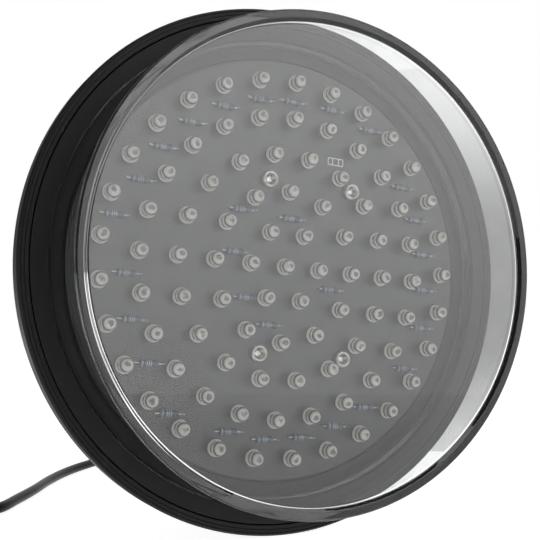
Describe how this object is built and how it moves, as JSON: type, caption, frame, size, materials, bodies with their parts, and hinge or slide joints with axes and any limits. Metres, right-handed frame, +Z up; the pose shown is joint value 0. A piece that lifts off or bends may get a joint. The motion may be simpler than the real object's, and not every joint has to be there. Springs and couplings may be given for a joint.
{
  "type": "underwater pool light",
  "caption": "Round flush-mounted underwater LED light: black flanged housing, clear flat-fronted lens over rings of LEDs, and a supply lead with a screwed waterproof connector.",
  "frame": {"origin": "centre of the plane on which the back of the mounting flange sits", "axes": "+Y along the light's axis, out of its back; the lens faces -Y; +Z is up"},
  "size_m": [0.242, 0.2258, 0.178],
  "materials": {
    "black_plastic": "fine moulded texture, satin",
    "clear_polycarbonate": "polished clear",
    "seal_rubber": "smooth",
    "stainless_steel": "turned",
    "black_circuit_board": "satin solder mask",
    "clear_led_epoxy": "water clear, glossy",
    "brass": "satin",
    "green_circuit_board": "satin solder mask",
    "capacitor_sleeve": "shrink sleeve",
    "green_terminal_plastic": "moulded",
    "red_insulation": "smooth",
    "black_insulation": "smooth",
    "brown_insulation": "smooth",
    "blue_insulation": "smooth",
    "black_rubber": "matt",
    "cable_sheath": "smooth, satin"
  },
  "bodies": {
    "light": {"lens_cup": "clear_polycarbonate", "lens_gasket": "seal_rubber", "clamp_ring": "black_plastic", "flange": "black_plastic", "rear_shell": "black_plastic", "flange_screw_1": "stainless_steel", "flange_screw_2": "stainless_steel", "flange_screw_3": "stainless_steel", "flange_screw_4": "stainless_steel", "flange_screw_5": "stainless_steel", "flange_screw_6": "stainless_steel", "led_board": "black_circuit_board", "led_centre": "clear_led_epoxy", "led_ring_1": "clear_led_epoxy", "led_ring_2": "clear_led_epoxy", "led_ring_3": "clear_led_epoxy", "led_ring_4": "clear_led_epoxy", "led_ring_5": "clear_led_epoxy", "board_screw_1": "stainless_steel", "board_screw_2": "stainless_steel", "board_screw_3": "stainless_steel", "board_screw_4": "stainless_steel", "board_standoff_1": "brass", "board_standoff_2": "brass", "board_standoff_3": "brass", "board_standoff_4": "brass", "driver_board": "green_circuit_board", "driver_screw_1": "stainless_steel", "driver_screw_2": "stainless_steel", "driver_capacitor_1": "capacitor_sleeve", "driver_capacitor_2": "capacitor_sleeve", "driver_inductor": "brass", "bridge_rectifier": "black_plastic", "terminal_block": "green_terminal_plastic", "led_lead_positive": "red_insulation", "led_lead_negative": "black_insulation", "supply_core_live": "brown_insulation", "supply_core_neutral": "blue_insulation", "gland_body": "black_plastic", "gland_locknut": "black_plastic", "gland_washer": "seal_rubber", "gland_seal": "seal_rubber", "gland_nut": "black_plastic", "strain_relief": "black_rubber", "cable_entry": "cable_sheath", "cable": "cable_sheath", "cable_coil": "cable_sheath", "coil_tie": "black_rubber", "cable_tail": "cable_sheath", "plug_boot": "black_rubber", "plug_body": "black_plastic", "plug_contact_1": "brass", "plug_contact_2": "brass", "plug_seal": "seal_rubber"},
    "coupling_nut": {"coupling_nut": "black_plastic"}
  },
  "joints": [
    {"name": "coupling_nut_spin", "type": "hinge", "parent": "light", "child": "coupling_nut", "pos_m": [-0.144, 0.13, -0.0798], "axis": [0, 1, 0], "continuous": true}
  ]
}
